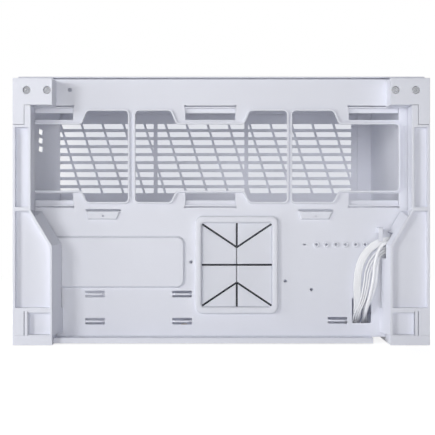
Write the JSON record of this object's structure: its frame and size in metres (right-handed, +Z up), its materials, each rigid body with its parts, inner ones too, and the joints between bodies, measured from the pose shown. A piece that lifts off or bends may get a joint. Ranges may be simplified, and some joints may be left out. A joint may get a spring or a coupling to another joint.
{
  "type": "computer case",
  "caption": "Empty white computer case seen from its cable side: pressed tray with rimmed cable openings, slit grommet, front leads, end pillars on foot rails and a pull-off vented side panel.",
  "frame": {"origin": "middle of the footprint, on the plane the foot pads stand on", "axes": "+X towards the front end with sockets and buttons, +Y away from the open cable side, +Z up"},
  "size_m": [0.44, 0.215, 0.2874],
  "materials": {
    "white_steel": "fine matt powder coat",
    "white_plastic": "fine matt moulding",
    "pale_rubber": "matt, soft",
    "white_jacket": "smooth cable jacket",
    "pale_plug": "smooth moulding",
    "foot_rubber": "matt",
    "plain_steel": "zinc-plated",
    "standoff_brass": "turned",
    "clip_plastic": "plain moulding",
    "board_laminate": "dark laminate",
    "dark_plastic": "plain moulding",
    "socket_shell": "stamped shell",
    "button_plastic": "smooth"
  },
  "bodies": {
    "case": {"audio_plug": "pale_plug", "audio_socket": "dark_plastic", "data_plug": "pale_plug", "data_sockets": "socket_shell", "floor_panel": "white_steel", "foot_pads": "foot_rubber", "front_bezel": "white_plastic", "front_corner": "white_plastic", "front_pillar": "white_plastic", "front_rail": "white_plastic", "front_screws": "plain_steel", "front_wall": "white_steel", "grommet_ring": "pale_rubber", "lead_clip": "white_plastic", "lead_flat_inner": "white_jacket", "lead_flat_outer": "white_jacket", "lead_round": "white_jacket", "lead_thin_a": "white_jacket", "lead_thin_b": "white_jacket", "lead_thin_c": "white_jacket", "rear_corner": "white_plastic", "rear_pillar": "white_plastic", "rear_rail": "white_plastic", "rear_screws": "plain_steel", "rear_wall": "white_steel", "roof_panel": "white_steel", "round_plug": "pale_plug", "socket_board": "board_laminate", "standoffs": "standoff_brass", "stud_clips": "clip_plastic", "switch_plug": "pale_plug", "switches": "dark_plastic", "tray_panel": "white_steel", "tray_rivets": "plain_steel"},
    "side_panel": {"vent_panel": "white_steel", "vent_studs": "plain_steel"},
    "power_button": {"power_button": "button_plastic"},
    "reset_button": {"reset_button": "button_plastic"},
    "flap_left_high": {"flap_left_high": "pale_rubber"},
    "flap_left_low": {"flap_left_low": "pale_rubber"},
    "flap_right_high": {"flap_right_high": "pale_rubber"},
    "flap_right_low": {"flap_right_low": "pale_rubber"},
    "flap_top_left": {"flap_top_left": "pale_rubber"},
    "flap_top_right": {"flap_top_right": "pale_rubber"},
    "flap_bottom_left": {"flap_bottom_left": "pale_rubber"},
    "flap_bottom_right": {"flap_bottom_right": "pale_rubber"}
  },
  "joints": [
    {"name": "side_panel_pull", "type": "slide", "parent": "case", "child": "side_panel", "axis": [0, 1, 0], "range_m": [0, 0.025]},
    {"name": "power_button_press", "type": "slide", "parent": "case", "child": "power_button", "axis": [-1, 0, 0], "range_m": [0, 0.0012], "stiffness_N_per_m": 1200},
    {"name": "reset_button_press", "type": "slide", "parent": "case", "child": "reset_button", "axis": [-1, 0, 0], "range_m": [0, 0.0012], "stiffness_N_per_m": 1000},
    {"name": "flap_left_high_bend", "type": "hinge", "parent": "case", "child": "flap_left_high", "pos_m": [-0.0201, -0.0817, 0.0841], "axis": [0, 0, 1], "range_deg": [-60, 75], "stiffness_Nm_per_rad": 0.01},
    {"name": "flap_left_low_bend", "type": "hinge", "parent": "case", "child": "flap_left_low", "pos_m": [-0.0201, -0.0817, 0.0841], "axis": [0, 0, 1], "range_deg": [-60, 75], "stiffness_Nm_per_rad": 0.01},
    {"name": "flap_right_high_bend", "type": "hinge", "parent": "case", "child": "flap_right_high", "pos_m": [0.0537, -0.0817, 0.0841], "axis": [0, 0, -1], "range_deg": [-60, 75], "stiffness_Nm_per_rad": 0.01},
    {"name": "flap_right_low_bend", "type": "hinge", "parent": "case", "child": "flap_right_low", "pos_m": [0.0537, -0.0817, 0.0841], "axis": [0, 0, -1], "range_deg": [-60, 75], "stiffness_Nm_per_rad": 0.01},
    {"name": "flap_top_left_bend", "type": "hinge", "parent": "case", "child": "flap_top_left", "pos_m": [0.0168, -0.0817, 0.1282], "axis": [1, 0, 0], "range_deg": [-60, 75], "stiffness_Nm_per_rad": 0.01},
    {"name": "flap_top_right_bend", "type": "hinge", "parent": "case", "child": "flap_top_right", "pos_m": [0.0168, -0.0817, 0.1282], "axis": [1, 0, 0], "range_deg": [-60, 75], "stiffness_Nm_per_rad": 0.01},
    {"name": "flap_bottom_left_bend", "type": "hinge", "parent": "case", "child": "flap_bottom_left", "pos_m": [0.0168, -0.0817, 0.04], "axis": [-1, 0, 0], "range_deg": [-60, 75], "stiffness_Nm_per_rad": 0.01},
    {"name": "flap_bottom_right_bend", "type": "hinge", "parent": "case", "child": "flap_bottom_right", "pos_m": [0.0168, -0.0817, 0.04], "axis": [-1, 0, 0], "range_deg": [-60, 75], "stiffness_Nm_per_rad": 0.01}
  ]
}
